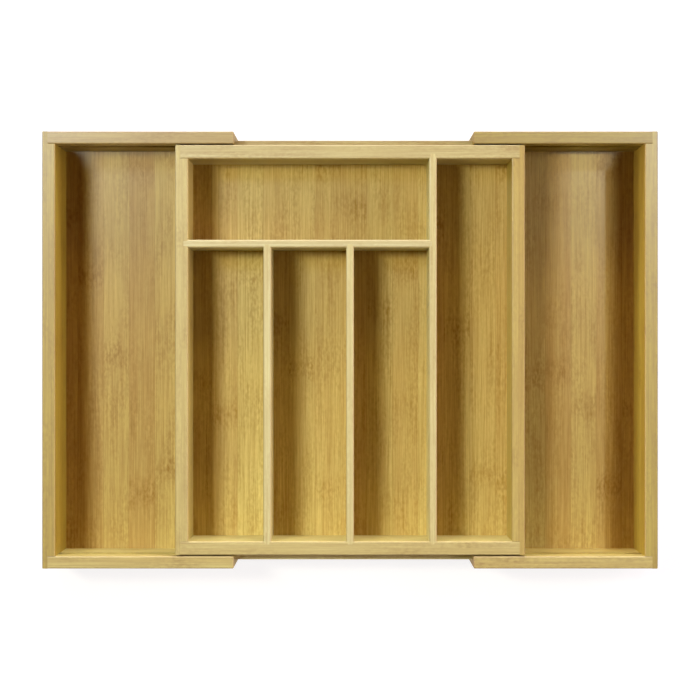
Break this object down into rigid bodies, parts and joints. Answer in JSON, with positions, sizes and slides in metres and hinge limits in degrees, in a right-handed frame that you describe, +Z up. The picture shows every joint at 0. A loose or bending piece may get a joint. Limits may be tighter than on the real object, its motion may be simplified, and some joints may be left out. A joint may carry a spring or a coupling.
{
  "type": "cutlery tray",
  "caption": "Rectangular wooden cutlery tray with upright dividers forming long and wide compartments, and open-topped side trays that slide out on runners to widen it.",
  "frame": {"origin": "centre of the footprint with both side trays pulled out, on the surface that the tray stands on", "axes": "+X to the right along the slide of the side trays, +Y to the back, where the wide cross compartment is, +Z up"},
  "size_m": [0.5, 0.355, 0.05],
  "materials": {
    "side_frame_bamboo": "satin lacquered bamboo",
    "centre_frame_bamboo": "satin lacquered bamboo, paler",
    "divider_bamboo": "satin lacquered bamboo, palest",
    "floor_bamboo": "satin lacquered bamboo panel, darker",
    "pin_steel": "plain wire"
  },
  "bodies": {
    "centre_tray": {"centre_back_wall": "centre_frame_bamboo", "centre_front_wall": "centre_frame_bamboo", "centre_left_wall": "centre_frame_bamboo", "centre_right_wall": "centre_frame_bamboo", "centre_floor": "floor_bamboo", "long_divider": "divider_bamboo", "cross_divider": "divider_bamboo", "short_divider_left": "divider_bamboo", "short_divider_middle": "divider_bamboo", "back_runner": "centre_frame_bamboo", "front_runner": "centre_frame_bamboo"},
    "left_tray": {"left_back_wall": "side_frame_bamboo", "left_front_wall": "side_frame_bamboo", "left_end_wall": "side_frame_bamboo", "left_floor": "floor_bamboo", "left_stop_pins": "pin_steel"},
    "right_tray": {"right_back_wall": "side_frame_bamboo", "right_front_wall": "side_frame_bamboo", "right_end_wall": "side_frame_bamboo", "right_floor": "floor_bamboo", "right_stop_pins": "pin_steel"}
  },
  "joints": [
    {"name": "left_tray_slide", "type": "slide", "parent": "centre_tray", "child": "left_tray", "axis": [1, 0, 0], "range_m": [0, 0.097]},
    {"name": "right_tray_slide", "type": "slide", "parent": "centre_tray", "child": "right_tray", "axis": [-1, 0, 0], "range_m": [0, 0.097]}
  ]
}
